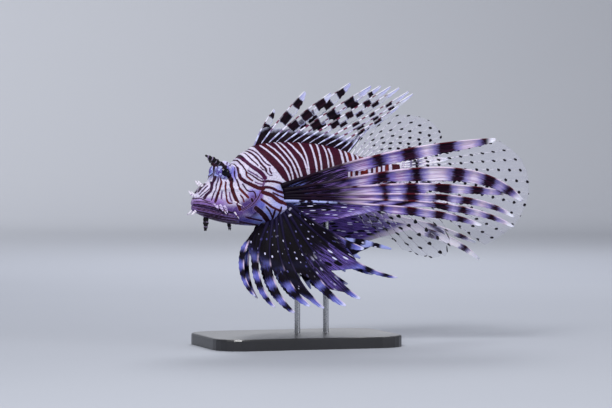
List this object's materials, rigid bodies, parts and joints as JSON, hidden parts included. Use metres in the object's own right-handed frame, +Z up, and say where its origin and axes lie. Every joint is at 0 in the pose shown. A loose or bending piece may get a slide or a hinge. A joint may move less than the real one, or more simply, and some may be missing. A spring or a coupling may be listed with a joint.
{
  "type": "red lionfish",
  "caption": "Red lionfish, a life-size still model with spread feathery fins, swimming level on a flat display stand.",
  "frame": {"origin": "middle of the underside of the stand's base", "axes": "+X towards the fish's tail, +Y towards the fish's right side, +Z up"},
  "size_m": [0.2532, 0.1131, 0.1838],
  "materials": {
    "skin": "satin, barred maroon and white",
    "eye": "gloss",
    "tentacle": "matte",
    "pectoral": "satin, banded lavender and near black",
    "pelvic": "satin, black with white spots",
    "spines": "satin, ringed maroon and white",
    "clear_fin": "nearly clear with black dots",
    "stand_base": "satin black",
    "stand_rod": "brushed"
  },
  "bodies": {
    "root": {"head": "skin", "lower_jaw": "skin", "torso": "skin", "tail_stalk": "skin", "gill_cover_left": "skin", "gill_cover_right": "skin", "eye_left": "eye", "eye_right": "eye", "brow_tentacle_left": "tentacle", "brow_tentacle_right": "tentacle", "pectoral_fin_left": "pectoral", "pectoral_fin_right": "pectoral", "pelvic_fin_left": "pelvic", "pelvic_fin_right": "pelvic", "dorsal_fin_spiny": "spines", "dorsal_fin_soft": "clear_fin", "anal_fin": "clear_fin", "tail_fin": "clear_fin", "stand_base": "stand_base", "stand_rod_front": "stand_rod", "stand_rod_rear": "stand_rod"}
  },
  "joints": []
}
